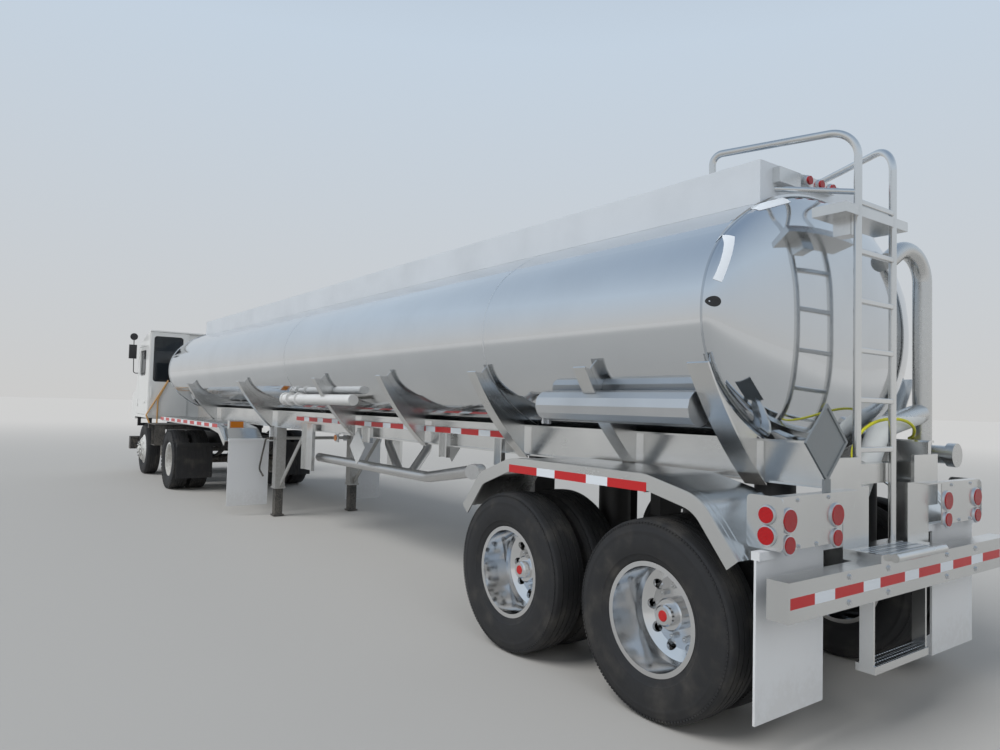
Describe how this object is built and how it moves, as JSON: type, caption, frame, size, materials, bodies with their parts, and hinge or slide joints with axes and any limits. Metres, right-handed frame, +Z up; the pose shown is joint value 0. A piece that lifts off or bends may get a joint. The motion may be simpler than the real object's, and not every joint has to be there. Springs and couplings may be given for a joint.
{
  "type": "articulated tanker lorry",
  "caption": "Terminal tractor with an offset cab, coupled to a polished oval tank semi-trailer; its wheels roll, it steers and bends, and its doors and lids open.",
  "frame": {"origin": "on the ground, below the middle of the overall length and width", "axes": "+X forward, +Y to the vehicle's left, +Z up"},
  "size_m": [16.062, 2.8, 3.211],
  "materials": {
    "polished_tank": "mirror polished",
    "bright_aluminium": "bright",
    "mill_aluminium": "mill finish",
    "dark_steel": "satin black",
    "black_paint": "satin black",
    "engine_iron": "dull",
    "white_paint": "gloss white",
    "white_wheel": "gloss white",
    "yellow_paint": "worn orange",
    "polished_wheel": "polished",
    "tyre_rubber": "matt",
    "black_rubber": "matt",
    "white_sheet": "smooth",
    "red_lamp": "lens",
    "amber_lamp": "lens",
    "seat_plastic": "matt",
    "window_glass": "tinted"
  },
  "bodies": {
    "trailer": {"tank_shell": "polished_tank", "tank_heads": "polished_tank", "spill_dam": "mill_aluminium", "roof_fittings": "mill_aluminium", "cradles": "bright_aluminium", "trailer_frame": "bright_aluminium", "upper_coupler": "dark_steel", "landing_gear": "dark_steel", "fenders": "bright_aluminium", "mud_flaps": "white_sheet", "bumper": "bright_aluminium", "lamp_boxes": "bright_aluminium", "lamps": "red_lamp", "amber_lamps": "amber_lamp", "ladder": "bright_aluminium", "vapour_pipe": "bright_aluminium", "product_piping": "mill_aluminium", "hose_tubes": "mill_aluminium", "trailer_axles": "dark_steel", "suspension": "dark_steel", "placard_holders": "mill_aluminium"},
    "tractor": {"tractor_frame": "black_paint", "tractor_axles": "black_paint", "fifth_wheel": "dark_steel", "cab_shell": "white_paint", "cab_glass": "window_glass", "nose": "white_paint", "engine": "engine_iron", "side_boxes": "black_paint", "deck_rails": "yellow_paint", "mirrors": "black_paint", "tractor_lamps": "amber_lamp", "cab_interior": "seat_plastic", "tractor_flaps": "black_rubber"},
    "lid_1": {"manhole_lid_1": "mill_aluminium"},
    "lid_2": {"manhole_lid_2": "mill_aluminium"},
    "lid_3": {"manhole_lid_3": "mill_aluminium"},
    "tube_door": {"tube_door": "mill_aluminium"},
    "cab_door": {"cab_door": "white_paint", "door_glass": "window_glass"},
    "rear_door": {"rear_door": "white_paint", "rear_door_glass": "window_glass"},
    "trailer_wheels_rear_left": {"trailer_wheels_rear_left_tyres": "tyre_rubber", "trailer_wheels_rear_left_rims": "polished_wheel"},
    "trailer_wheels_rear_right": {"trailer_wheels_rear_right_tyres": "tyre_rubber", "trailer_wheels_rear_right_rims": "polished_wheel"},
    "trailer_wheels_front_left": {"trailer_wheels_front_left_tyres": "tyre_rubber", "trailer_wheels_front_left_rims": "polished_wheel"},
    "trailer_wheels_front_right": {"trailer_wheels_front_right_tyres": "tyre_rubber", "trailer_wheels_front_right_rims": "polished_wheel"},
    "drive_wheels_left": {"drive_wheels_left_tyres": "tyre_rubber", "drive_wheels_left_rims": "polished_wheel"},
    "drive_wheels_right": {"drive_wheels_right_tyres": "tyre_rubber", "drive_wheels_right_rims": "polished_wheel"},
    "knuckle_left": {"knuckle_left": "dark_steel"},
    "steer_wheel_left": {"steer_wheel_left_tyre": "tyre_rubber", "steer_wheel_left_rim": "white_wheel"},
    "knuckle_right": {"knuckle_right": "dark_steel"},
    "steer_wheel_right": {"steer_wheel_right_tyre": "tyre_rubber", "steer_wheel_right_rim": "white_wheel"}
  },
  "joints": [
    {"name": "kingpin", "type": "hinge", "parent": "trailer", "child": "tractor", "pos_m": [4.281, 0, 1.2], "axis": [0, 0, 1], "range_deg": [-90, 90]},
    {"name": "lid_1_hinge", "type": "hinge", "parent": "trailer", "child": "lid_1", "pos_m": [-5.939, 0, 3.015], "axis": [0, -1, 0], "range_deg": [0, 110]},
    {"name": "lid_2_hinge", "type": "hinge", "parent": "trailer", "child": "lid_2", "pos_m": [-2.739, 0, 3.015], "axis": [0, -1, 0], "range_deg": [0, 110]},
    {"name": "lid_3_hinge", "type": "hinge", "parent": "trailer", "child": "lid_3", "pos_m": [1.161, 0, 3.015], "axis": [0, -1, 0], "range_deg": [0, 110]},
    {"name": "tube_door_hinge", "type": "hinge", "parent": "trailer", "child": "tube_door", "pos_m": [-6.021, 0.965, 1.522], "axis": [0, 1, 0], "range_deg": [0, 100]},
    {"name": "cab_door_hinge", "type": "hinge", "parent": "tractor", "child": "cab_door", "pos_m": [7.348, 1.208, 2], "axis": [0, 0, -1], "range_deg": [0, 80]},
    {"name": "rear_door_slide", "type": "slide", "parent": "tractor", "child": "rear_door", "axis": [0, -1, 0], "range_m": [0, 0.66]},
    {"name": "trailer_wheels_rear_left_spin", "type": "hinge", "parent": "trailer", "child": "trailer_wheels_rear_left", "pos_m": [-7.169, 0.92, 0.523], "axis": [0, 1, 0], "continuous": true},
    {"name": "trailer_wheels_rear_right_spin", "type": "hinge", "parent": "trailer", "child": "trailer_wheels_rear_right", "pos_m": [-7.169, -0.92, 0.523], "axis": [0, 1, 0], "continuous": true},
    {"name": "trailer_wheels_front_left_spin", "type": "hinge", "parent": "trailer", "child": "trailer_wheels_front_left", "pos_m": [-5.919, 0.92, 0.523], "axis": [0, 1, 0], "continuous": true},
    {"name": "trailer_wheels_front_right_spin", "type": "hinge", "parent": "trailer", "child": "trailer_wheels_front_right", "pos_m": [-5.919, -0.92, 0.523], "axis": [0, 1, 0], "continuous": true},
    {"name": "drive_wheels_left_spin", "type": "hinge", "parent": "tractor", "child": "drive_wheels_left", "pos_m": [4.191, 0.92, 0.523], "axis": [0, 1, 0], "continuous": true},
    {"name": "drive_wheels_right_spin", "type": "hinge", "parent": "tractor", "child": "drive_wheels_right", "pos_m": [4.191, -0.92, 0.523], "axis": [0, 1, 0], "continuous": true},
    {"name": "steer_left", "type": "hinge", "parent": "tractor", "child": "knuckle_left", "pos_m": [7.141, 0.85, 0.523], "axis": [0, 0, 1], "range_deg": [-38, 38]},
    {"name": "steer_wheel_left_spin", "type": "hinge", "parent": "knuckle_left", "child": "steer_wheel_left", "pos_m": [7.141, 0.965, 0.523], "axis": [0, 1, 0], "continuous": true},
    {"name": "steer_right", "type": "hinge", "parent": "tractor", "child": "knuckle_right", "pos_m": [7.141, -0.85, 0.523], "axis": [0, 0, 1], "range_deg": [-38, 38]},
    {"name": "steer_wheel_right_spin", "type": "hinge", "parent": "knuckle_right", "child": "steer_wheel_right", "pos_m": [7.141, -0.965, 0.523], "axis": [0, 1, 0], "continuous": true}
  ],
  "couplings": [
    {"joint": "steer_right", "follows": "steer_left", "ratio": 1}
  ]
}
